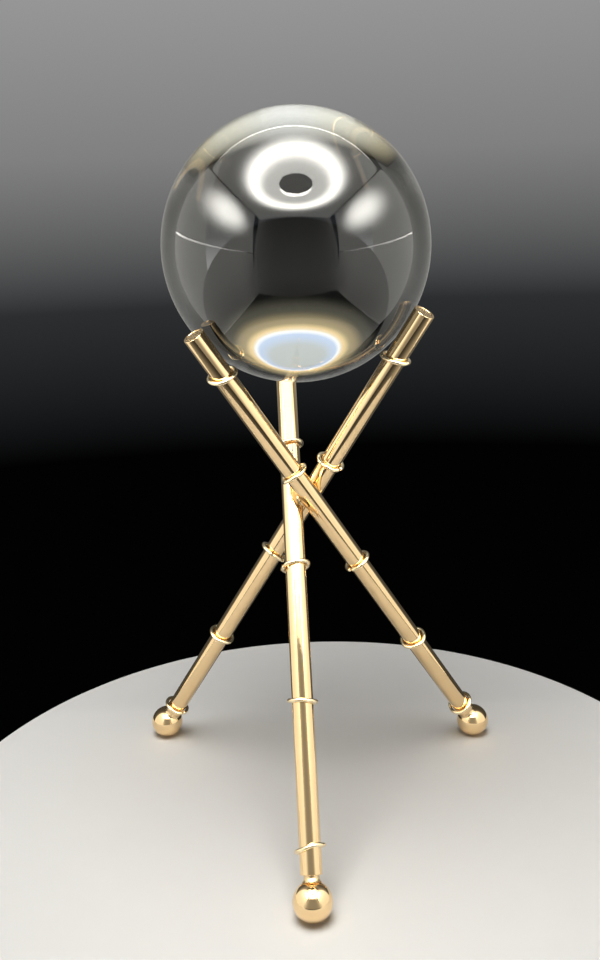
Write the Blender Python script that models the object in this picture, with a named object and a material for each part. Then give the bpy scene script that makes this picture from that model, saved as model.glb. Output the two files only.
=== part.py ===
"""A crystal ball resting on a tripod of three crossed, polished brass tubes.

Each tube leans the same way round the stand's upright axis, touches its two neighbours at the
waist and carries five split wire rings. A turned spigot joins its lower end to a ball foot, and
a plug closes its top. The ball sits loose on the three tubes, just below their top ends.
+Z is up, -Y is the front, and the legs are named after where their feet stand.
"""

import math

import bmesh
import bpy
from mathutils import Matrix, Vector

MM = 0.001

# The ball and its seat
BALL_RADIUS = 50.0 * MM
SEAT_GAP = 0.3 * MM

# The tubes
TUBE_RADIUS = 4.0 * MM
TUBE_BORE = 3.0 * MM
TUBE_START = 8.8 * MM  # lower end, measured along the tube from the foot's centre
LEG_TILT = math.radians(34.07)  # from upright
WAIST_OFFSET = 5.15 * MM  # how far each tube's centre line passes from the stand's axis
FOOT_TO_WAIST = 149.7 * MM

# The ball feet, with a small flat ground underneath
FOOT_RADIUS = 7.2 * MM
FOOT_FLAT_RADIUS = 1.9 * MM
FOOT_SPOTFACE = 6.45 * MM
SPIGOT_NECK = 2.9 * MM
SPIGOT_PIN = 2.1 * MM
FIT_GAP = 0.15 * MM

# The split wire rings
WIRE_RADIUS = 0.8 * MM
RING_CLEARANCE = 0.15 * MM
SPLIT_HALF_ANGLE = math.radians(4.0)

# The brazing where two tubes touch
BRAZE_EDGE = 1.15 * MM
BRAZE_GAP = 0.1 * MM

# Each leg: bearing of its foot, length from the foot's centre to the top, and its rings from
# the foot up. A ring is its distance along the tube in millimetres, its slope across and
# towards the ball, and the bearing of its split in degrees. The rings are fitted by hand.
LEGS = {
    "front": (-90.0, 235.4 * MM, (
        (17.6, -0.22, 0.14, 250), (69.3, 0.08, -0.04, 275), (121.0, -0.16, 0.20, 35),
        (171.2, -0.14, 0.06, 255), (215.5, 0.06, -0.22, 270))),
    "right": (28.95, 232.8 * MM, (
        (13.4, -0.06, 0.11, 150), (61.5, -0.15, -0.06, 170), (112.5, 0.13, -0.01, 290),
        (163.6, 0.20, -0.04, 160), (214.1, -0.16, -0.17, 175))),
    "left": (147.39, 238.1 * MM, (
        (11.9, -0.09, -0.06, 252), (62.8, -0.05, -0.03, 20), (115.4, -0.36, 0.02, 256),
        (166.1, 0.06, -0.03, 262), (217.3, -0.01, -0.26, 15))),
}

TILT_SIN, TILT_COS = math.sin(LEG_TILT), math.cos(LEG_TILT)
FOOT_HEIGHT = math.sqrt(FOOT_RADIUS**2 - FOOT_FLAT_RADIUS**2)
WAIST_HEIGHT = FOOT_HEIGHT + FOOT_TO_WAIST * TILT_COS
BALL_HEIGHT = WAIST_HEIGHT + math.sqrt(
    (BALL_RADIUS + TUBE_RADIUS + SEAT_GAP) ** 2 - WAIST_OFFSET**2) / TILT_SIN


def leg_frame(bearing):
    """The leg's own frame: origin at the foot's centre, Z up the tube, Y towards the ball."""
    turn = math.radians(bearing) + math.atan2(WAIST_OFFSET, FOOT_TO_WAIST * TILT_SIN)
    outward = Vector((math.cos(turn), math.sin(turn), 0.0))
    across = Vector((math.sin(turn), -math.cos(turn), 0.0))
    up = Vector((0.0, 0.0, 1.0))
    along = TILT_COS * up - TILT_SIN * outward
    foot = FOOT_TO_WAIST * TILT_SIN * outward + WAIST_OFFSET * across + FOOT_HEIGHT * up
    turned = Matrix((across, along.cross(across), along)).transposed()
    return Matrix.Translation(foot) @ turned.to_4x4()


def footprint_centre(frames):
    """The middle of the stand's footprint, so that the whole object can be centred on it."""
    low, high = [BALL_RADIUS * -1.0] * 2, [BALL_RADIUS] * 2
    for name, frame in frames.items():
        top = frame @ Vector((0.0, 0.0, LEGS[name][1]))
        along = frame.to_3x3() @ Vector((0.0, 0.0, 1.0))
        for i in (0, 1):
            rim = TUBE_RADIUS * math.sqrt(1.0 - along[i] ** 2)
            low[i] = min(low[i], frame.translation[i] - FOOT_RADIUS, top[i] - rim)
            high[i] = max(high[i], frame.translation[i] + FOOT_RADIUS, top[i] + rim)
    return Vector(((low[0] + high[0]) / 2, (low[1] + high[1]) / 2, 0.0))


def metal(name, colour, metallic=1.0, roughness=0.1, transmission=0.0):
    made = bpy.data.materials.new(name)
    made.use_nodes = True
    shader = made.node_tree.nodes["Principled BSDF"]
    shader.inputs["Base Color"].default_value = (*colour, 1.0)
    shader.inputs["Metallic"].default_value = metallic
    shader.inputs["Roughness"].default_value = roughness
    shader.inputs["Transmission Weight"].default_value = transmission
    return made


def add_object(name, mesh_builder, material, parent=None, location=(0.0, 0.0, 0.0)):
    """Turns a bmesh into a named, smooth-shaded object and places it in its parent's frame."""
    bmesh.ops.recalc_face_normals(mesh_builder, faces=mesh_builder.faces)
    data = bpy.data.meshes.new(name)
    mesh_builder.to_mesh(data)
    mesh_builder.free()
    data.shade_smooth()
    data.set_sharp_from_angle(angle=math.radians(35.0))
    data.materials.append(material)
    made = bpy.data.objects.new(name, data)
    bpy.context.scene.collection.objects.link(made)
    made.parent = parent
    made.location = location
    return made


def revolve(profile, segments, closed=False):
    """Turns a profile of (radius, height) points about Z. Open profiles start and end on Z."""
    shape = bmesh.new()
    rows = []
    for radius, height in profile:
        if radius < 1e-9:
            rows.append([shape.verts.new((0.0, 0.0, height))] * segments)
            continue
        angles = [2.0 * math.pi * i / segments for i in range(segments)]
        rows.append([shape.verts.new((radius * math.cos(a), radius * math.sin(a), height))
                     for a in angles])
    pairs = list(zip(rows, rows[1:] + rows[:1]))
    for first, second in pairs if closed else pairs[:-1]:
        for i in range(segments):
            j = (i + 1) % segments
            corners = list(dict.fromkeys((first[i], first[j], second[j], second[i])))
            if len(corners) > 2:
                shape.faces.new(corners)
    return shape


def arc(radius, centre, start, end, steps):
    """Points of (radius, height) along an arc about a point on the axis, angles in degrees."""
    turns = [math.radians(start + (end - start) * i / steps) for i in range(steps + 1)]
    return [(radius * math.cos(t), centre + radius * math.sin(t)) for t in turns]


def split_ring(slope_across, slope_ball, split_bearing, turns=28, sides=6):
    """A round wire bent into a ring that leans on the tube, with a narrow split."""
    lean = math.atan(math.hypot(slope_across, slope_ball))
    radius = (TUBE_RADIUS + RING_CLEARANCE) / math.cos(lean) + WIRE_RADIUS
    normal = Vector((-slope_across, -slope_ball, 1.0)).normalized()
    first = Vector((0.0, 1.0, 0.0)).cross(normal).normalized()
    second = normal.cross(first)
    shape = bmesh.new()
    start = math.radians(split_bearing) + SPLIT_HALF_ANGLE
    sweep = 2.0 * (math.pi - SPLIT_HALF_ANGLE)
    rows = []
    for i in range(turns + 1):
        angle = start + sweep * i / turns
        outward = math.cos(angle) * first + math.sin(angle) * second
        corners = [2.0 * math.pi * j / sides for j in range(sides)]
        rows.append([shape.verts.new(
            outward * (radius + WIRE_RADIUS * math.cos(c)) + normal * WIRE_RADIUS * math.sin(c))
            for c in corners])
    for low, high in zip(rows, rows[1:]):
        for j in range(sides):
            k = (j + 1) % sides
            shape.faces.new((low[j], low[k], high[k], high[j]))
    shape.faces.new(rows[0])
    shape.faces.new(rows[-1])
    return shape


def closest_points(first, second):
    """Where two legs' centre lines come nearest each other, one point on each."""
    a, b = first.translation, second.translation
    u, v = (frame.to_3x3() @ Vector((0.0, 0.0, 1.0)) for frame in (first, second))
    dot, between = u.dot(v), a - b
    on_u = (dot * v.dot(between) - u.dot(between)) / (1.0 - dot * dot)
    on_v = (v.dot(between) - dot * u.dot(between)) / (1.0 - dot * dot)
    return a + on_u * u, b + on_v * v, u, v


def braze_fillet(first, second, turns=24):
    """The braze between two crossing tubes: a thin web with a hollow edge, in world space."""
    on_first, on_second, u, v = closest_points(first, second)
    apart = (on_first - on_second).length
    normal = (on_first - on_second).normalized()
    middle = (on_first + on_second) / 2.0
    bisector = (u + v).normalized()
    side = normal.cross(bisector)
    half = math.acos(u.dot(bisector))
    handed = 1.0 if u.dot(side) > 0.0 else -1.0

    def heights(reach, angle):
        off = [abs(reach * math.sin(angle - handed * sign * half)) for sign in (1.0, -1.0)]
        rise = [apart / 2.0 - BRAZE_GAP - math.sqrt(TUBE_RADIUS**2 - o**2) for o in off]
        return rise[0], -rise[1]

    def place(reach, angle, height):
        flat = bisector * math.cos(angle) + side * math.sin(angle)
        return middle + reach * flat + height * normal

    shape = bmesh.new()
    rows = []
    spread = 2.0 * TUBE_RADIUS * (BRAZE_EDGE - (apart - 2.0 * TUBE_RADIUS))
    for i in range(turns):
        angle = 2.0 * math.pi * i / turns
        lean = math.sin(angle - half) ** 2 + math.sin(angle + half) ** 2
        edge = math.sqrt(spread / lean)
        row = []
        for share in (0.35, 0.7, 1.0):
            row.append(place(edge * share, angle, heights(edge * share, angle)[0]))
        top, bottom = heights(edge, angle)
        row.append(place(edge * 0.88, angle, (top + bottom) / 2.0))
        for share in (1.0, 0.7, 0.35):
            row.append(place(edge * share, angle, heights(edge * share, angle)[1]))
        rows.append([shape.verts.new(point) for point in row])
    top, bottom = heights(0.0, 0.0)
    peaks = shape.verts.new(place(0.0, 0.0, top)), shape.verts.new(place(0.0, 0.0, bottom))
    for row, other in zip(rows, rows[1:] + rows[:1]):
        shape.faces.new((peaks[0], row[0], other[0]))
        shape.faces.new((peaks[1], row[-1], other[-1]))
        for j in range(len(row) - 1):
            shape.faces.new((row[j], row[j + 1], other[j + 1], other[j]))
    return shape


def foot_ball(frame):
    """A ball bored for the spigot along the tube, with a flat ground square to the floor."""
    shape = revolve(
        [(0.0, 1.4 * MM), (SPIGOT_PIN + FIT_GAP, 1.4 * MM), (SPIGOT_PIN + FIT_GAP, FOOT_SPOTFACE)]
        + arc(FOOT_RADIUS, 0.0, math.degrees(math.asin(FOOT_SPOTFACE / FOOT_RADIUS)), -90.0, 13),
        24)
    down = frame.to_3x3().inverted() @ Vector((0.0, 0.0, -1.0))
    cut = bmesh.ops.bisect_plane(
        shape, geom=shape.verts[:] + shape.edges[:] + shape.faces[:], dist=1e-7,
        plane_co=down * FOOT_HEIGHT, plane_no=down, clear_outer=True)
    rim = [item for item in cut["geom_cut"] if isinstance(item, bmesh.types.BMEdge)]
    bmesh.ops.contextual_create(shape, geom=rim)
    return shape


for old in list(bpy.data.objects):
    bpy.data.objects.remove(old)

glass = metal("crystal_glass", (0.93, 0.97, 0.96), 0.0, 0.0, 1.0)
tube_brass = metal("polished_brass_tube", (0.80, 0.60, 0.33), 1.0, 0.08)
wire_brass = metal("brass_wire", (0.84, 0.66, 0.38), 1.0, 0.12)
plug_brass = metal("turned_brass_plug", (0.72, 0.56, 0.36), 1.0, 0.2)
foot_brass = metal("polished_brass_foot", (0.82, 0.63, 0.37), 1.0, 0.08)
braze = metal("brazing_alloy", (0.86, 0.70, 0.46), 1.0, 0.25)

frames = {name: leg_frame(spec[0]) for name, spec in LEGS.items()}
centring = Matrix.Translation(-footprint_centre(frames))
frames = {name: centring @ frame for name, frame in frames.items()}

for name, (bearing, length, rings) in LEGS.items():
    leg = bpy.data.objects.new(f"leg_{name}_frame", None)
    leg.matrix_world = frames[name]
    bpy.context.scene.collection.objects.link(leg)

    add_object(f"tube_{name}", revolve([
        (TUBE_RADIUS - 0.45 * MM, TUBE_START), (TUBE_RADIUS, TUBE_START + 0.45 * MM),
        (TUBE_RADIUS, length - 0.4 * MM), (TUBE_RADIUS - 0.12 * MM, length - 0.12 * MM),
        (TUBE_RADIUS - 0.4 * MM, length), (TUBE_BORE + 0.25 * MM, length),
        (TUBE_BORE, length - 0.25 * MM), (TUBE_BORE, TUBE_START)], 32, closed=True),
        tube_brass, leg)

    plug_radius, plug_face = TUBE_BORE - FIT_GAP, length - 0.3 * MM
    add_object(f"top_plug_{name}", revolve([
        (0.0, length - 6.0 * MM), (plug_radius - 0.4 * MM, length - 6.0 * MM),
        (plug_radius, length - 5.6 * MM), (plug_radius, plug_face - 0.2 * MM),
        (plug_radius - 0.2 * MM, plug_face), (0.0, plug_face)], 24), plug_brass, leg)

    add_object(f"foot_spigot_{name}", revolve([
        (0.0, 1.7 * MM), (SPIGOT_PIN - 0.3 * MM, 1.7 * MM), (SPIGOT_PIN, 2.0 * MM),
        (SPIGOT_PIN, FOOT_SPOTFACE + 0.1 * MM), (SPIGOT_NECK, FOOT_SPOTFACE + 0.1 * MM),
        (SPIGOT_NECK - 0.25 * MM, FOOT_SPOTFACE + 0.8 * MM),
        (SPIGOT_NECK - 0.05 * MM, TUBE_START), (SPIGOT_NECK - 0.05 * MM, TUBE_START + 7.0 * MM),
        (SPIGOT_NECK - 0.6 * MM, TUBE_START + 7.6 * MM), (0.0, TUBE_START + 7.6 * MM)], 20),
        plug_brass, leg)

    add_object(f"foot_ball_{name}", foot_ball(frames[name]), foot_brass, leg)

    for number, (station, across, towards_ball, split) in enumerate(rings, 1):
        add_object(f"ring_{name}_{number}", split_ring(across, towards_ball, split),
                   wire_brass, leg, (0.0, 0.0, station * MM))

for one, other in (("front", "right"), ("right", "left"), ("left", "front")):
    add_object(f"braze_{one}_{other}", braze_fillet(frames[one], frames[other]), braze)

ball = bmesh.new()
bmesh.ops.create_uvsphere(ball, u_segments=40, v_segments=22, radius=BALL_RADIUS)
add_object("crystal_ball", ball, glass,
           location=centring.translation + Vector((0.0, 0.0, BALL_HEIGHT)))
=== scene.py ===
"""Crystal ball resting on a tripod of three crossed, polished brass tubes.

Each leg is a drawn tube with a pressed-in plug at the top, a turned spigot and ball foot at the
bottom, and five hand-bent wire rings. The tubes are brazed where they cross.
"""

import math

import bpy
from mathutils import Matrix, Vector, noise


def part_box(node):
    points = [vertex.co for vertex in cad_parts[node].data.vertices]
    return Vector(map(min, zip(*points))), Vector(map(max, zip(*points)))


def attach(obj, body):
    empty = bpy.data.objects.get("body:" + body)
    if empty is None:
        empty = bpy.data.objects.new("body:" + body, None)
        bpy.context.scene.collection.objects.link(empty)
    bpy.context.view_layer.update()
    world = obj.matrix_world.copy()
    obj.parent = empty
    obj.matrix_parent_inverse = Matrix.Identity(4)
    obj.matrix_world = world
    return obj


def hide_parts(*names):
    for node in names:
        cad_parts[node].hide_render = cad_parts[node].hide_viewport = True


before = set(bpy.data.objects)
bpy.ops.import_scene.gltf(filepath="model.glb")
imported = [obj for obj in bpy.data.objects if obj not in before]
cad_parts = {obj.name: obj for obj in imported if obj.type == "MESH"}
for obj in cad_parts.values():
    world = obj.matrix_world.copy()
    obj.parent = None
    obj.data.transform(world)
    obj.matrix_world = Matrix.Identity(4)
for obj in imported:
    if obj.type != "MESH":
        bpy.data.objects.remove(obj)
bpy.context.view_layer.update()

MM = 0.001

# Sizes of the real pieces. Heights on a leg run up it from the foot's centre.
BALL_RADIUS = 50.0 * MM
TUBE_RADIUS = 4.0 * MM
TUBE_BORE = 3.0 * MM
TUBE_START = 8.8 * MM
RIM_ROUNDING = 0.2 * MM
RIM_DEPTH = 2.0 * MM  # the bore's wall has a row of points this far below the rim
PLUG_MIDDLE = 3.15 * MM  # from the tube's top end down to the middle of its plug
PLUG_SINK = 0.12 * MM
PLUG_LENGTH = 6.0 * MM
PLUG_CLEARANCE = 0.02 * MM
PLUG_ROUNDING = 0.08 * MM
PLUG_DISH = 0.03 * MM
FOOT_RADIUS = 7.2 * MM
FOOT_FLAT_RADIUS = 1.9 * MM
FOOT_SPOTFACE = 6.45 * MM
FOOT_SOCKET_RADIUS = 2.2 * MM
FOOT_SOCKET_FLOOR = 1.4 * MM
SPIGOT_RADIUS = 2.85 * MM
SPIGOT_TIP_RADIUS = 2.0 * MM
SPIGOT_BOTTOM = 1.7 * MM
SPIGOT_SHOULDER = 6.3 * MM
SPIGOT_NECK_TOP = 9.2 * MM
SPIGOT_TOP = 16.2 * MM
SPIGOT_TOP_CHAMFER = 0.4 * MM
COLLAR_BOTTOM = 6.42 * MM
COLLAR_HEIGHT = 2.3 * MM
COLLAR_SPREAD = 0.75 * MM
COLLAR_HOLLOW = 0.12 * MM
WIRE_RADIUS = 0.8 * MM
RING_CLEARANCE = 0.15 * MM
RING_EASE = 0.06 * MM
RING_OUT_OF_ROUND = 0.12 * MM
RING_OUT_OF_FLAT = 0.35 * MM
BRAZE_EDGE = 1.15 * MM
BRAZE_GAP = 0.03 * MM
BRAZE_LUMPS = 0.25  # share of the fillet's reach
BRAZE_HOLLOW = 0.16  # share of the fillet's reach
AXIS_GAP = 0.02 * MM  # a turned end stops this far short of its axis, so no faces meet in a point

# Each ring's slope across the tube and towards the ball, and the bearing of its split in
# degrees, from the foot up
RINGS = {
    "front": ((-0.22, 0.14, 250), (0.08, -0.04, 275), (-0.16, 0.20, 35), (-0.14, 0.06, 255),
              (0.06, -0.22, 270)),
    "right": ((-0.06, 0.11, 150), (-0.15, -0.06, 170), (0.13, -0.01, 290), (0.20, -0.04, 160),
              (-0.16, -0.17, 175)),
    "left": ((-0.09, -0.06, 252), (-0.05, -0.03, 20), (-0.36, 0.02, 256), (0.06, -0.03, 262),
             (-0.01, -0.26, 15)),
}
RING_SEEDS = {"front": 3, "right": 11, "left": 23}


# ---------------------------------------------------------------- materials

def linear(code):
    """An sRGB hex colour as linear red, green, blue and full alpha."""
    parts = [int(code[i:i + 2], 16) / 255.0 for i in (1, 3, 5)]
    return (*[p / 12.92 if p <= 0.04045 else ((p + 0.055) / 1.055) ** 2.4 for p in parts], 1.0)


def add_node(tree, kind, links=None, **settings):
    """Adds a node. Settings named for an input fill that input, and the rest are its options."""
    made = tree.nodes.new(kind)
    for key, value in settings.items():
        if hasattr(made, key):
            setattr(made, key, value)
        else:
            made.inputs[key.replace("_", " ")].default_value = value
    for key, source in (links or {}).items():
        tree.links.new(source, made.inputs[key])
    return made


def new_material(name):
    """An empty node material and its node tree."""
    made = bpy.data.materials.new(name)
    made.use_nodes = True
    made.node_tree.nodes.clear()
    return made, made.node_tree


def finish_material(tree, shader):
    add_node(tree, "ShaderNodeOutputMaterial", {"Surface": shader.outputs[0]})


def polished_brass(name, light, deep, smudge, base_roughness, marks, mark_depth, stretch):
    """Brass buffed to a mirror. Colour drifts between two tones over a few millimetres, faint
    buffing marks bend the reflections, and handling leaves patches that are a little duller.
    Real buffing marks are far finer than marks, which is as coarse as they need to show."""
    made, tree = new_material(name)
    place = add_node(tree, "ShaderNodeTexCoord")
    patch = add_node(tree, "ShaderNodeTexNoise", {"Vector": place.outputs["Object"]},
                     Scale=1.0 / (9.0 * MM), Detail=3.0, Roughness=0.55)
    tone = add_node(tree, "ShaderNodeMix", {"Factor": patch.outputs["Fac"]}, data_type="RGBA")
    tone.inputs[6].default_value, tone.inputs[7].default_value = linear(light), linear(deep)
    handled = add_node(tree, "ShaderNodeTexNoise", {"Vector": place.outputs["Object"]},
                       Scale=1.0 / (3.5 * MM), Detail=5.0, Roughness=0.6)
    dull = add_node(tree, "ShaderNodeMapRange", {"Value": handled.outputs["Fac"]},
                    From_Min=0.45, From_Max=0.8, To_Min=base_roughness,
                    To_Max=base_roughness + smudge)
    drawn = add_node(tree, "ShaderNodeMapping", {"Vector": place.outputs["Object"]},
                     Scale=stretch)
    lines = add_node(tree, "ShaderNodeTexNoise", {"Vector": drawn.outputs["Vector"]},
                     Scale=1.0 / marks, Detail=2.0)
    bump = add_node(tree, "ShaderNodeBump", {"Height": lines.outputs["Fac"]},
                    Strength=mark_depth, Distance=0.02 * MM)
    shader = add_node(tree, "ShaderNodeBsdfPrincipled",
                      {"Base Color": tone.outputs[2], "Roughness": dull.outputs["Result"],
                       "Normal": bump.outputs["Normal"]}, Metallic=1.0)
    finish_material(tree, shader)
    return made


def crystal_glass():
    """Optical crystal, ground and polished. It is clear right through and gathers the light
    low in the ball, and a trace of polishing haze softens parts of the surface."""
    made, tree = new_material("polished_optical_crystal")
    place = add_node(tree, "ShaderNodeTexCoord")
    cloud = add_node(tree, "ShaderNodeTexNoise", {"Vector": place.outputs["Object"]},
                     Scale=1.0 / (14.0 * MM), Detail=6.0, Roughness=0.65)
    haze = add_node(tree, "ShaderNodeMapRange", {"Value": cloud.outputs["Fac"]},
                    From_Min=0.55, From_Max=0.85, To_Min=0.0, To_Max=0.02)
    shader = add_node(tree, "ShaderNodeBsdfPrincipled", {"Roughness": haze.outputs["Result"]},
                      Base_Color=linear("#FCFEFD"), Metallic=0.0, IOR=1.517,
                      Transmission_Weight=1.0)
    finish_material(tree, shader)
    return made


def backdrop_card(name, colour):
    """Matt board, pressed from fibre: no shine, and very slightly mottled."""
    made, tree = new_material(name)
    place = add_node(tree, "ShaderNodeTexCoord")
    fibre = add_node(tree, "ShaderNodeTexNoise", {"Vector": place.outputs["Object"]},
                     Scale=60.0, Detail=3.0)
    tone = add_node(tree, "ShaderNodeMix", {"Factor": fibre.outputs["Fac"]}, data_type="RGBA")
    tone.inputs[6].default_value = linear(colour)
    tone.inputs[7].default_value = [c * 0.97 for c in linear(colour)[:3]] + [1.0]
    shader = add_node(tree, "ShaderNodeBsdfPrincipled", {"Base Color": tone.outputs[2]},
                      Roughness=0.7)
    finish_material(tree, shader)
    return made


CRYSTAL = crystal_glass()
EVEN = (1.0, 1.0, 1.0)
# Brass tube, cold drawn: a near mirror whose marks run long, so that highlights stay in stripes
TUBE_BRASS = polished_brass(
    "drawn_brass_tube_polished", light="#F6D9AA", deep="#EFCE9D", smudge=0.06,
    base_roughness=0.05, marks=0.9 * MM, mark_depth=0.25, stretch=(1.0, 1.0, 0.08))
# Brass wire, drawn thin and bent by hand: paler, with fine scuffs that spread its highlights
WIRE_BRASS = polished_brass(
    "drawn_brass_wire_polished", light="#FCEBC6", deep="#F6DFB2", smudge=0.08,
    base_roughness=0.12, marks=0.5 * MM, mark_depth=0.4, stretch=EVEN)
# Brass balls, turned and buffed all round: the same mirror as the tubes, without a direction
FOOT_BRASS = polished_brass(
    "turned_brass_ball_polished", light="#F6D9AA", deep="#EFCE9D", smudge=0.06,
    base_roughness=0.05, marks=1.2 * MM, mark_depth=0.2, stretch=EVEN)
# Brass faced off in a lathe and left unbuffed: a deeper, satin tone inside the bright rims
PLUG_BRASS = polished_brass(
    "turned_brass_plug", light="#EBD0A4", deep="#DDBF90", smudge=0.1,
    base_roughness=0.24, marks=0.3 * MM, mark_depth=0.5, stretch=EVEN)
# Brazing alloy, run in hot and left as it set: paler than the tubes, lumpy and a little dull
BRAZE_METAL = polished_brass(
    "brazing_alloy_cast", light="#FAE6BE", deep="#F2D8A6", smudge=0.15,
    base_roughness=0.14, marks=0.6 * MM, mark_depth=0.8, stretch=EVEN)


# ---------------------------------------------------------------- mesh helpers

def make_piece(name, points, faces, material, body, stands_for, sharp=32.0):
    """A visible piece on its body, smooth except at edges sharper than an angle in degrees."""
    data = bpy.data.meshes.new(name)
    data.from_pydata([tuple(p) for p in points], [], faces)
    data.validate()
    data.update()
    data.shade_smooth()
    data.set_sharp_from_angle(angle=math.radians(sharp))
    data.materials.append(material)
    made = bpy.data.objects.new(name, data)
    bpy.context.scene.collection.objects.link(made)
    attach(made, body)
    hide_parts(*stands_for)


def loft(rows, closed_rows=True, closed_path=False):
    """Faces between rows of points of equal length. Returns points and faces."""
    count = len(rows[0])
    points = [p for row in rows for p in row]
    faces = []
    steps = len(rows) if closed_path else len(rows) - 1
    for i in range(steps):
        for j in range(count if closed_rows else count - 1):
            here, there, across = i * count, (i + 1) % len(rows) * count, (j + 1) % count
            faces.append((here + j, here + across, there + across, there + j))
    return points, faces


def turned(profile, segments, closed=False):
    """A lathe-turned shape from (radius, height) points, bottom to top up its outer side."""
    rows = []
    for radius, height in profile:
        rows.append([Vector((radius * math.cos(2 * math.pi * i / segments),
                             radius * math.sin(2 * math.pi * i / segments), height))
                     for i in range(segments)])
    points, faces = loft(rows, closed_path=closed)
    if not closed:
        faces.append(tuple(reversed(range(segments))))
        faces.append(tuple(range(len(points) - segments, len(points))))
    return points, faces


def rounded(profile, radius, steps=5):
    """Rounds the corners of a (radius, height) profile that are marked with True."""
    result = []
    for i, (r, z, soft) in enumerate(profile):
        if not soft:
            result.append((r, z))
            continue
        here = Vector((r, z))
        before, after = Vector(profile[i - 1][:2]), Vector(profile[(i + 1) % len(profile)][:2])
        first = here + (before - here).normalized() * radius
        last = here + (after - here).normalized() * radius
        for k in range(steps + 1):
            t = k / steps
            result.append(tuple(first.lerp(here, t).lerp(here.lerp(last, t), t)))
    return result


def moved(points, matrix):
    return [matrix @ Vector(p) for p in points]


# ---------------------------------------------------------------- where the legs are

def box_centre(node):
    low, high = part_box(node)
    return (low + high) / 2.0


def leg_frame(name):
    """The leg's frame: origin at the foot's centre, Z up the tube, Y on the ball's side."""
    foot = box_centre(f"foot_ball_{name}")
    foot.z = math.sqrt(FOOT_RADIUS**2 - FOOT_FLAT_RADIUS**2)
    along = (box_centre(f"top_plug_{name}") - foot).normalized()
    across = Vector((-along.y, along.x, 0.0)).normalized()
    matrix = Matrix((across, along.cross(across), along)).transposed().to_4x4()
    return Matrix.Translation(foot) @ matrix


LEGS = {name: leg_frame(name) for name in ("front", "right", "left")}


def build_tube(name, leg, top):
    """A tube cut square, its rims broken with a file so that they catch a bright line."""
    profile = rounded([
        (TUBE_BORE, TUBE_START, False), (TUBE_RADIUS, TUBE_START, True),
        (TUBE_RADIUS, top, True), (TUBE_BORE, top, True), (TUBE_BORE, top - RIM_DEPTH, False)],
        RIM_ROUNDING)
    points, faces = turned(profile, 96, closed=True)
    make_piece(f"drawn_tube_{name}", moved(points, leg), faces, TUBE_BRASS, "stand",
               [f"tube_{name}"])


def build_plug(name, leg, top):
    """A plug just below the tube's rim, dished a hair towards its middle."""
    face, bottom, radius = top - PLUG_SINK, top - PLUG_LENGTH, TUBE_BORE - PLUG_CLEARANCE
    profile = rounded([
        (AXIS_GAP, bottom, False), (radius, bottom, False), (radius, face, True),
        (AXIS_GAP, face - PLUG_DISH, False)], PLUG_ROUNDING)
    points, faces = turned(profile, 96)
    make_piece(f"turned_plug_{name}", moved(points, leg), faces, PLUG_BRASS, "stand",
               [f"top_plug_{name}"])


def build_spigot(name, leg):
    """The spigot's neck, with the collar of solder that runs down onto the foot."""
    profile = [(AXIS_GAP, SPIGOT_BOTTOM), (SPIGOT_TIP_RADIUS, SPIGOT_BOTTOM),
               (SPIGOT_TIP_RADIUS, SPIGOT_SHOULDER)]
    steps = 8
    for k in range(steps + 1):
        t = k / steps
        flare = (1.0 - t) ** 2.2 * COLLAR_SPREAD - COLLAR_HOLLOW * math.sin(math.pi * t)
        profile.append((SPIGOT_RADIUS + flare, COLLAR_BOTTOM + t * COLLAR_HEIGHT))
    profile += [(SPIGOT_RADIUS, SPIGOT_NECK_TOP),
                (SPIGOT_RADIUS, SPIGOT_TOP - SPIGOT_TOP_CHAMFER), (AXIS_GAP, SPIGOT_TOP)]
    points, faces = turned(profile, 72)
    make_piece(f"turned_spigot_{name}", moved(points, leg), faces, PLUG_BRASS, "stand",
               [f"foot_spigot_{name}"], sharp=50.0)


def build_foot(name, leg):
    """A turned ball with a spotface for the spigot and a small flat ground on the floor."""
    edge = math.asin(FOOT_SPOTFACE / FOOT_RADIUS)
    steps, profile = 56, []
    for k in range(steps + 1):
        rise = -math.pi / 2 + (edge + math.pi / 2) * k / steps
        profile.append((max(FOOT_RADIUS * math.cos(rise), AXIS_GAP),
                        FOOT_RADIUS * math.sin(rise)))
    profile += [(FOOT_SOCKET_RADIUS, FOOT_SPOTFACE), (FOOT_SOCKET_RADIUS, FOOT_SOCKET_FLOOR),
                (AXIS_GAP, FOOT_SOCKET_FLOOR)]
    points, faces = turned(profile, 112)
    points = moved(points, leg)
    for point in points:
        point.z = max(point.z, 0.0)
    make_piece(f"turned_foot_{name}", points, faces, FOOT_BRASS, "stand",
               [f"foot_ball_{name}"])


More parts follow.
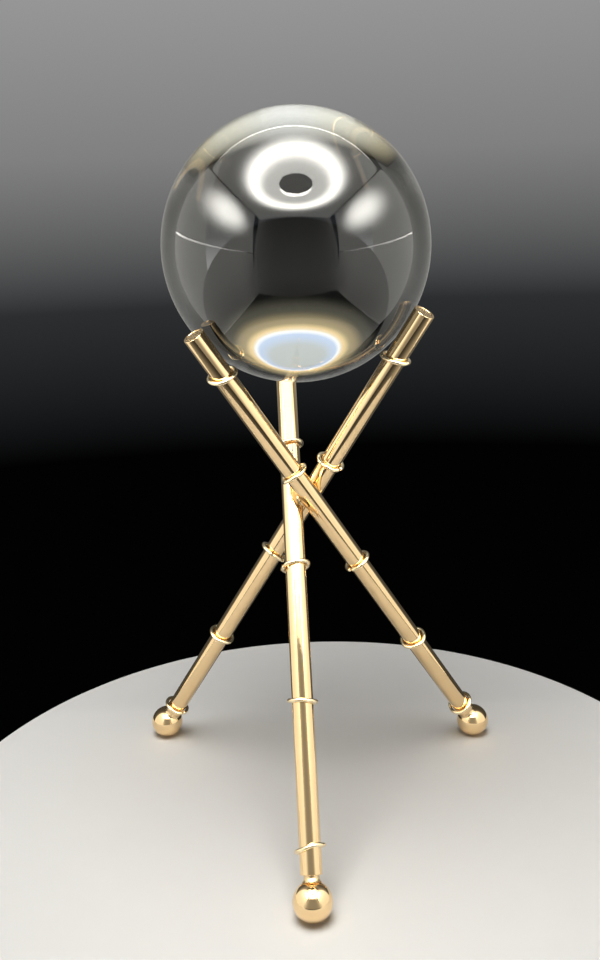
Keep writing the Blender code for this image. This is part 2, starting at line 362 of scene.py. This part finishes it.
def build_ring(name, number, leg):
    """Round wire bent by hand: not quite flat, not quite round, and split where its ends meet."""
    slope_across, slope_ball, split = RINGS[name][number - 1]
    node = f"ring_{name}_{number}"
    station = (leg.inverted() @ box_centre(node)).z
    lean = math.atan(math.hypot(slope_across, slope_ball))
    radius = (TUBE_RADIUS + RING_CLEARANCE) / math.cos(lean) + WIRE_RADIUS
    normal = Vector((-slope_across, -slope_ball, 1.0)).normalized()
    first = Vector((0.0, 1.0, 0.0)).cross(normal).normalized()
    second = normal.cross(first)
    seed = RING_SEEDS[name] + 5 * number
    sides, turns = 16, 132
    gap = math.radians(2.6 + 1.5 * (seed % 3))
    start = math.radians(split) + gap

    def centre_line(angle):
        wobble = noise.noise(Vector((math.cos(angle), math.sin(angle), seed * 0.73)))
        wave = noise.noise(Vector((math.cos(angle) * 1.3, math.sin(angle) * 1.3, seed * 1.9)))
        outward = math.cos(angle) * first + math.sin(angle) * second
        return (outward * (radius + RING_EASE + RING_OUT_OF_ROUND * wobble)
                + normal * RING_OUT_OF_FLAT * wave + Vector((0.0, 0.0, station)))

    rows = []
    for i in range(turns + 1):
        angle = start + (2 * math.pi - 2 * gap) * i / turns
        here = centre_line(angle)
        ahead = (centre_line(angle + 0.01) - centre_line(angle - 0.01)).normalized()
        side = ahead.cross(normal).normalized()
        over = ahead.cross(side)
        shrink = (0.72, 0.9, 1.0)[min(i, turns - i, 2)]  # the cut ends are dressed round
        rows.append([here + (side * math.cos(2 * math.pi * j / sides)
                             + over * math.sin(2 * math.pi * j / sides)) * WIRE_RADIUS * shrink
                     for j in range(sides)])
    points, faces = loft(rows)
    faces.append(tuple(reversed(range(sides))))
    faces.append(tuple(range(len(points) - sides, len(points))))
    make_piece(f"wire_ring_{name}_{number}", moved(points, leg), faces, WIRE_BRASS, "stand",
               [node], sharp=55.0)


def build_braze(one, other):
    """Brazing alloy drawn into the crossing of two tubes, thicker and lumpier at its edge."""
    a, b = LEGS[one].translation, LEGS[other].translation
    u, v = (LEGS[n].to_3x3() @ Vector((0.0, 0.0, 1.0)) for n in (one, other))
    dot, between = u.dot(v), a - b
    on_u = a + u * ((dot * v.dot(between) - u.dot(between)) / (1.0 - dot * dot))
    on_v = b + v * ((v.dot(between) - dot * u.dot(between)) / (1.0 - dot * dot))
    apart, normal = (on_u - on_v).length, (on_u - on_v).normalized()
    middle, bisector = (on_u + on_v) / 2.0, (u + v).normalized()
    side = normal.cross(bisector)
    half = math.acos(u.dot(bisector))
    handed = 1.0 if u.dot(side) > 0.0 else -1.0
    spread = 2.0 * TUBE_RADIUS * (BRAZE_EDGE - (apart - 2.0 * TUBE_RADIUS))

    def height(angle, reach, which):
        """Where the skin of one tube lies, at a reach from the middle in a direction."""
        off = abs(reach * math.sin(angle - (-handed * half if which else handed * half)))
        off = min(off, TUBE_RADIUS * 0.98)
        rise = apart / 2.0 - BRAZE_GAP - math.sqrt(TUBE_RADIUS**2 - off**2)
        return -rise if which else rise

    steps, turns, rows = 8, 96, []
    for i in range(turns):
        angle = 2 * math.pi * i / turns
        lump = noise.noise(Vector((math.cos(angle) * 1.7, math.sin(angle) * 1.7, len(one) * 1.3)))
        lean = math.sin(angle - half) ** 2 + math.sin(angle + half) ** 2
        edge = math.sqrt(spread / lean) * (1.05 + BRAZE_LUMPS * lump)
        flat = bisector * math.cos(angle) + side * math.sin(angle)
        row = [middle + edge * k / steps * flat + height(angle, edge * k / steps, 0) * normal
               for k in range(1, steps + 1)]
        top, bottom = height(angle, edge, 0), height(angle, edge, 1)
        for k in range(1, 10):
            t = k / 10
            hollow = edge * (1.0 - BRAZE_HOLLOW * math.sin(math.pi * t))
            row.append(middle + hollow * flat + (top * (1.0 - t) + bottom * t) * normal)
        row += [middle + edge * k / steps * flat + height(angle, edge * k / steps, 1) * normal
                for k in range(steps, 0, -1)]
        rows.append(row)
    points, faces = loft(rows, closed_rows=False, closed_path=True)
    count = len(rows[0])
    crown = (apart / 2 - BRAZE_GAP - TUBE_RADIUS) * normal
    for point, ring in ((middle + crown, 0), (middle - crown, count - 1)):
        points.append(point)
        for i in range(turns):
            j = (i + 1) % turns
            edge = (i * count + ring, j * count + ring)
            faces.append((len(points) - 1, *(reversed(edge) if ring else edge)))
    make_piece(f"braze_{one}_{other}_fillet", points, faces, BRAZE_METAL, "stand",
               [f"braze_{one}_{other}"], sharp=60.0)


def build_ball():
    """A true sphere, meshed as six curved square faces so that it has no poles."""
    centre = box_centre("crystal_ball")
    count = 72  # faces along each side of a square
    points, faces, seen = [], [], {}

    def corner(direction):
        key = tuple(round(c, 6) for c in direction)
        if key not in seen:
            seen[key] = len(points)
            points.append(centre + direction * BALL_RADIUS)
        return seen[key]

    for axis in range(3):
        for sign in (-1.0, 1.0):
            grid = []
            for i in range(count + 1):
                row = []
                for j in range(count + 1):
                    a = math.tan(math.pi / 4 * (2.0 * i / count - 1.0))
                    b = math.tan(math.pi / 4 * (2.0 * j / count - 1.0))
                    direction = Vector((0.0, 0.0, 0.0))
                    direction[axis] = sign
                    direction[(axis + 1) % 3] = a * sign
                    direction[(axis + 2) % 3] = b
                    row.append(corner(direction.normalized()))
                grid.append(row)
            for i in range(count):
                for j in range(count):
                    faces.append((grid[i][j], grid[i + 1][j], grid[i + 1][j + 1], grid[i][j + 1]))
    make_piece("polished_crystal_ball", points, faces, CRYSTAL, "ball",
               ["crystal_ball"], sharp=180.0)


for leg_name, leg in LEGS.items():
    plug = leg.inverted() @ box_centre(f"top_plug_{leg_name}")
    top_end = plug.z + PLUG_MIDDLE
    build_tube(leg_name, leg, top_end)
    build_plug(leg_name, leg, top_end)
    build_spigot(leg_name, leg)
    build_foot(leg_name, leg)
    for ring_number in range(1, 6):
        build_ring(leg_name, ring_number, leg)
for pair in (("front", "right"), ("right", "left"), ("left", "front")):
    build_braze(*pair)
build_ball()


# ---------------------------------------------------------------- studio

def plain_mesh(name, points, faces, material):
    """A piece of the studio."""
    data = bpy.data.meshes.new(name)
    data.from_pydata([tuple(p) for p in points], [], faces)
    data.materials.append(material)
    made = bpy.data.objects.new(name, data)
    bpy.context.scene.collection.objects.link(made)
    return made


def lit_card(name, points, faces, glows, seen_by):
    """A lit diffuser seen only by mirrors (glossy) or only through glass (transmission), so
    that it lights no floor. glows is one colour for each point, as light leaves it there."""
    diffuser, tree = new_material(name)
    level = add_node(tree, "ShaderNodeAttribute", attribute_name="glow")
    shader = add_node(tree, "ShaderNodeEmission", {"Color": level.outputs["Color"]}, Strength=1.0)
    finish_material(tree, shader)
    card = plain_mesh(name, points, faces, diffuser)
    layer = card.data.attributes.new("glow", "FLOAT_COLOR", "POINT")
    layer.data.foreach_set("color", [c for glow in glows for c in (*glow[:3], 1.0)])
    card.visible_camera = card.visible_diffuse = card.visible_shadow = False
    card.visible_glossy = "glossy" in seen_by
    card.visible_transmission = "transmission" in seen_by


def lamp(level):
    """The studio lamps' warm white at a brightness."""
    return [level * c for c in linear(LAMP_TINT)[:3]]


def bell(at, middle, width):
    """A smooth hump of height one."""
    return math.exp(-(((at - middle) / width) ** 2))


def blend(stops, at):
    """The colour at a place between (place, hex colour) stops, eased from one to the next."""
    for (a, low), (b, high) in zip(stops, stops[1:]):
        if at <= b:
            share = max(0.0, (at - a) / (b - a))
            share = share * share * (3.0 - 2.0 * share)
            return [p + (q - p) * share for p, q in zip(linear(low), linear(high))]
    return linear(stops[-1][1])


def lit_wall(name, corner, along, up, glow, steps=(24, 16), seen_by=("glossy",), far_up=None):
    """A flat diffuser from a corner along two edges, whose far end may be taller or shorter.
    glow gives its light by the two shares."""
    far_up = far_up or up
    wide, tall = steps
    rows = [[corner + along * i / wide + up.lerp(far_up, i / wide) * j / tall
             for i in range(wide + 1)] for j in range(tall + 1)]
    points, faces = loft(rows, closed_rows=False)
    glows = [glow(i / wide, j / tall) for j in range(tall + 1) for i in range(wide + 1)]
    lit_card(name, points, faces, glows, seen_by)


def ring_ceiling(name, centre, low, high, height):
    """The ceiling diffuser, lit from behind by a ring of lamps round a dark oval opening. The
    opening's front lip hangs down and catches the light."""
    # Fine steps across the opening's edge, and coarser ones across the ring
    reaches = [0.002, 0.02] + [0.034 + 0.0012 * k for k in range(25)] + [
        0.066 + 0.005 * k for k in range(21)]
    turns, rows, glows = 144, [], []
    for i in range(turns):
        angle = 2 * math.pi * i / turns
        way = Vector((math.cos(angle), math.sin(angle)))
        edge = min(((high if way[k] > 0 else low)[k] - centre[k]) / way[k]
                   for k in (0, 1) if abs(way[k]) > 1e-6)
        path = reaches + [reaches[-1] + (edge - reaches[-1]) * k / 10 for k in range(1, 11)]
        rows.append([Vector((centre[0] + way[0] * r, centre[1] + way[1] * r, height))
                     for r in path])
        width = RING_LAMP_WIDTH + 0.006 * max(way[1], 0.0)
        for r in path:
            across, ahead = r * way[0] / OPENING_STRETCH, r * way[1]
            inside = 9.0 / (1.0 + math.exp((r - 0.17) / 0.015))
            level = 1.8 + inside + 22.0 * bell(r, RING_LAMP_RADIUS, width)
            if math.hypot(across, ahead - 0.003) < OPENING_RADIUS:
                level = 1.5
            elif math.hypot(across, ahead + 0.016) < OPENING_RADIUS:
                level = 30.0
            glows.append(lamp(level))
    points, faces = loft(rows, closed_rows=False, closed_path=True)
    lit_card(name, points, faces, glows, ("glossy",))


def soft_light(name, diameter, strength, place, aim):
    """A round softbox that lights matt surfaces and shows in no mirror or glass."""
    light = bpy.data.lights.new(name, "AREA")
    light.shape = "DISK"
    light.size = diameter
    light.energy = strength
    made = bpy.data.objects.new(name, light)
    made.location = place
    made.rotation_euler = (Vector(aim) - Vector(place)).to_track_quat("-Z", "Y").to_euler()
    made.visible_camera = made.visible_glossy = made.visible_transmission = False
    bpy.context.scene.collection.objects.link(made)


FLOOR_CARD = backdrop_card("pale_studio_floor", "#DCDAD6")
TABLE_RADIUS, TABLE_THICKNESS, TABLE_BEVEL = 0.165, 0.02, 0.001
table_points, table_faces = turned(
    [(TABLE_RADIUS, -TABLE_THICKNESS), (TABLE_RADIUS, -TABLE_BEVEL),
     (TABLE_RADIUS - TABLE_BEVEL, 0.0)], 160)
plain_mesh("studio_floor", table_points, table_faces, FLOOR_CARD)

# The light tent's inside, in metres, and its lamps
LEFT, RIGHT, FRONT, BACK, CEILING = -0.225, 0.25, -0.345, 0.09, 0.44
TENT_FLOOR = -0.021
TENT_WIDTH, TENT_DEPTH = Vector((RIGHT - LEFT, 0.0, 0.0)), Vector((0.0, BACK - FRONT, 0.0))
LAMP_TINT = "#FFFDF5"
RING_LAMP_CENTRE = (0.011, -0.172)
RING_LAMP_RADIUS, RING_LAMP_WIDTH = 0.143, 0.026
OPENING_RADIUS, OPENING_STRETCH = 0.049, 1.14


def upper_glow(share, height):
    """The upper side diffuser is hottest in its middle, where the ring's light lands."""
    away = math.hypot((share - 0.47) / 0.26, (height - 0.62) / 0.26)
    return lamp(1.6 + 19.0 * math.exp(-away ** 3))


def lower_glow(share, height):
    """The lower side diffuser brightens a little towards its seam."""
    return lamp(0.5 + 0.6 * min(share / 0.25, 1.0) + 0.7 * height ** 2)


# The side walls are two diffusers, one over the other, with a bright seam between them that
# climbs towards the rear. Glass shows them much dimmer than brass does.
SEAM_RISE = Vector((0.0, 0.0, 0.036))
SEAM_STRIP = Vector((0.0, 0.0, 0.004))
STRIP_START, STRIP_SHARE = 0.1, 0.9
for side, x, seam, dim_in_glass in (("left", LEFT, 0.223, 0.06), ("right", RIGHT, 0.211, 0.1)):
    low = Vector((x, FRONT, TENT_FLOOR))
    strip_low = low + TENT_DEPTH * STRIP_START
    to_seam = Vector((0.0, 0.0, seam + 0.018))
    to_top = Vector((0.0, 0.0, CEILING - 0.007 - seam))
    for shown, upper_dim, lower_dim in (("glossy", 1.0, 1.0), ("transmission", 0.2, dim_in_glass)):
        lit_wall(f"{side}_upper_diffuser_{shown}", low + Vector((0.0, 0.0, seam + 0.024)),
                 TENT_DEPTH + SEAM_RISE, to_top,
                 lambda u, v: [c * upper_dim for c in upper_glow(u, v)],
                 seen_by=(shown,), far_up=to_top - SEAM_RISE)
        lit_wall(f"{side}_lower_diffuser_{shown}", low, TENT_DEPTH, to_seam,
                 lambda u, v: [c * lower_dim for c in lower_glow(u, v)],
                 seen_by=(shown,), far_up=to_seam + SEAM_RISE)
    lit_wall(f"{side}_seam_strip", strip_low + Vector((0.0, 0.0, seam + 0.0225)),
             (TENT_DEPTH + SEAM_RISE) * STRIP_SHARE, SEAM_STRIP,
             lambda u, v: lamp(9.0 * (0.35 + 0.65 * u)), (8, 1))
    lit_wall(f"{side}_floor_seam", strip_low + Vector((0.0, 0.0, 0.002)),
             TENT_DEPTH * STRIP_SHARE, SEAM_STRIP, lambda u, v: lamp(3.0), (1, 1))
# The dark front, a little lighter at its sides, and the back, with a faint glow in its middle
lit_wall("front_card", Vector((LEFT, FRONT + 0.03, 0.0)), TENT_WIDTH,
         Vector((0.0, -0.09, CEILING - 0.01)),
         lambda u, v: lamp(0.32 + 0.5 * abs(2.0 * u - 1.0) ** 4), (16, 2))
lit_wall("back_card", Vector((LEFT, BACK, 0.0)), TENT_WIDTH, Vector((0.0, 0.0, CEILING - 0.02)),
         lambda u, v: lamp(0.06 + 0.9 * abs(2.0 * u - 1.0) ** 3 * min(v / 0.4, 1.0)
                           + 0.5 * bell(u, 0.48, 0.2) * bell(v, 0.55, 0.18)), (32, 24))
# Dark flags behind, which give the glass its grey edges
for side, x in (("left", LEFT - 0.05), ("right", RIGHT + 0.05)):
    lit_wall(f"{side}_dark_flag", Vector((x, BACK, -0.2)), Vector((0.0, 0.65, 0.0)),
             Vector((0.0, 0.0, 1.1)), lambda u, v: lamp(0.05), (1, 1), ("transmission",))
lit_wall("ceiling_rear_edge", Vector((LEFT, 0.064, CEILING)), TENT_WIDTH,
         Vector((0.0, 0.005, 0.0)), lambda u, v: lamp(14.0 * math.sin(math.pi * u)), (24, 1))
ring_ceiling("ceiling_diffuser", RING_LAMP_CENTRE, (LEFT, -0.43), (RIGHT, 0.06), CEILING)
# The part of the ceiling that lights the front leg through the ball
lit_wall("ceiling_through_ball", Vector((-0.05, -0.12, CEILING + 0.002)),
         Vector((0.16, 0.0, 0.0)), Vector((0.0, 0.14, 0.0)), lambda u, v: lamp(3.0), (1, 1),
         ("transmission",))
# The floor outside the plinth, brighter towards the rear
lit_wall("outer_floor", Vector((LEFT, FRONT, TENT_FLOOR)), TENT_WIDTH, TENT_DEPTH,
         lambda u, v: lamp(0.04 + 0.66 * v ** 2), (2, 24))


def floor_glow(share, depth):
    """The bright floor behind the ball, which the glass bends into a band along its top."""
    sideways = abs(share - 0.5) * 2.0
    tint = blend([(0.0, "#FFFFFA"), (0.45, "#FFFBE6"), (0.8, "#FDF0C8")], sideways)
    near = 1.0 - min(1.6 * sideways, 1.0) * max(0.0, 1.0 - depth / 0.3)
    level = 1.5 * (1.0 - depth ** 1.6) * (1.0 - sideways ** 2.5) * near
    return [level * c for c in tint[:3]]


lit_wall("rear_floor_glow", Vector((-0.28, BACK, 0.002)), Vector((0.56, 0.0, 0.0)),
         Vector((0.0, 0.31, 0.0)), floor_glow, (30, 30), ("transmission",))

# The rear lamp's colours from its middle (0) past its edge (1) into its halo
REAR_LAMP = [(0.0, "#C6CAC6"), (0.6, "#C4CAC8"), (0.92, "#C8D8F0"), (1.0, "#FAFAF8"),
             (1.15, "#F4D8A0"), (1.4, "#A49470"), (1.9, "#4C4A40"), (2.4, "#000000")]
REAR_LAMP_PLACE = Vector((-0.008, 0.45, 0.496))
REAR_LAMP_HALF_WIDTH, REAR_LAMP_HALF_HEIGHT, REAR_LAMP_HALO = 0.109, 0.138, 2.4


def rear_lamp():
    """A lamp high up behind, which the glass gathers low in the ball: cool inside its edge and
    warm outside. Its halo is wider above than below."""
    turns, steps, rows, glows = 72, 60, [], []
    for i in range(turns):
        angle = 2 * math.pi * i / turns
        rise = math.sin(angle)
        fade = 1.0 + (1.3 * -rise if rise < 0.0 else -0.3 * rise)
        row = []
        for k in range(steps + 1):
            share = REAR_LAMP_HALO * k / steps + 0.004
            warmth = share if share < 1.0 else 1.0 + (share - 1.0) * fade
            row.append(REAR_LAMP_PLACE + Vector((
                REAR_LAMP_HALF_WIDTH * share * math.cos(angle), 0.0,
                REAR_LAMP_HALF_HEIGHT * share * rise)))
            strength = 1.1 + 0.1 * bell(warmth, 1.0, 0.06)
            glows.append([c * strength for c in blend(REAR_LAMP, warmth)[:3]])
        rows.append(row)
    points, faces = loft(rows, closed_rows=False, closed_path=True)
    lit_card("rear_lamp", points, faces, glows, ("transmission",))


rear_lamp()
ball = box_centre("crystal_ball")
soft_light("overhead_softbox", 0.5, 6.0, (ball.x - 0.05, ball.y - 0.15, 0.75),
           (ball.x, ball.y, 0.0))

# The surround: almost black below, lifting to grey behind and above the ball, dark overhead
world = bpy.data.worlds.new("studio_surround")
bpy.context.scene.world = world
world.use_nodes = True
surround = world.node_tree
surround.nodes.clear()
direction = add_node(surround, "ShaderNodeTexCoord")
slopes = add_node(surround, "ShaderNodeSeparateXYZ", {"Vector": direction.outputs["Generated"]})
SURROUND = [(-0.24, "#020202"), (-0.10, "#2C2E30"), (0.04, "#808080"), (0.20, "#9A9A9A"),
            (0.35, "#181818")]
lowest, highest = SURROUND[0][0], SURROUND[-1][0]
climb = add_node(surround, "ShaderNodeMapRange", {"Value": slopes.outputs["Z"]},
                 From_Min=lowest, From_Max=highest)
ramp = add_node(surround, "ShaderNodeValToRGB", {"Fac": climb.outputs["Result"]})
greys = ramp.color_ramp.elements
for _ in SURROUND[2:]:
    greys.new(0.5)
for stop, (height, code) in zip(greys, SURROUND):
    stop.position = (height - lowest) / (highest - lowest)
    stop.color = linear(code)
backdrop = add_node(surround, "ShaderNodeBackground", {"Color": ramp.outputs["Color"]},
                    Strength=1.0)
add_node(surround, "ShaderNodeOutputWorld", {"Surface": backdrop.outputs[0]})

# Colours are shown as they are, without film-like softening of the highlights
bpy.context.scene.view_settings.view_transform = "Standard"

# The camera stands a little above the ball's middle and looks slightly down
PITCH, SWING, ROLL = math.radians(15.78), math.radians(1.87), math.radians(2.13)
FILM_HEIGHT = 36.0  # millimetres, along the upright picture
FOCAL_SHARE = 1.047875  # focal length as a share of the film's height
CAMERA_BESIDE, CAMERA_BEFORE, CAMERA_HEIGHT = 0.01079, 0.38398, 0.24597
view = bpy.data.cameras.new("camera")
view.lens = FILM_HEIGHT * FOCAL_SHARE
view.sensor_width = FILM_HEIGHT
view.clip_start = 0.01
camera = bpy.data.objects.new("camera", view)
forward = Vector((-math.sin(SWING) * math.cos(PITCH), math.cos(SWING) * math.cos(PITCH),
                  -math.sin(PITCH)))
right = Vector((math.cos(SWING), math.sin(SWING), 0.0))
above = right.cross(forward)
rolled_right = right * math.cos(ROLL) - above * math.sin(ROLL)
rolled_up = right * math.sin(ROLL) + above * math.cos(ROLL)
turn = Matrix((rolled_right, rolled_up, -forward)).transposed().to_4x4()
stand = Vector((ball.x + CAMERA_BESIDE, ball.y - CAMERA_BEFORE, CAMERA_HEIGHT))
camera.matrix_world = Matrix.Translation(stand) @ turn
bpy.context.scene.collection.objects.link(camera)
bpy.context.scene.camera = camera

bpy.context.view_layer.update()
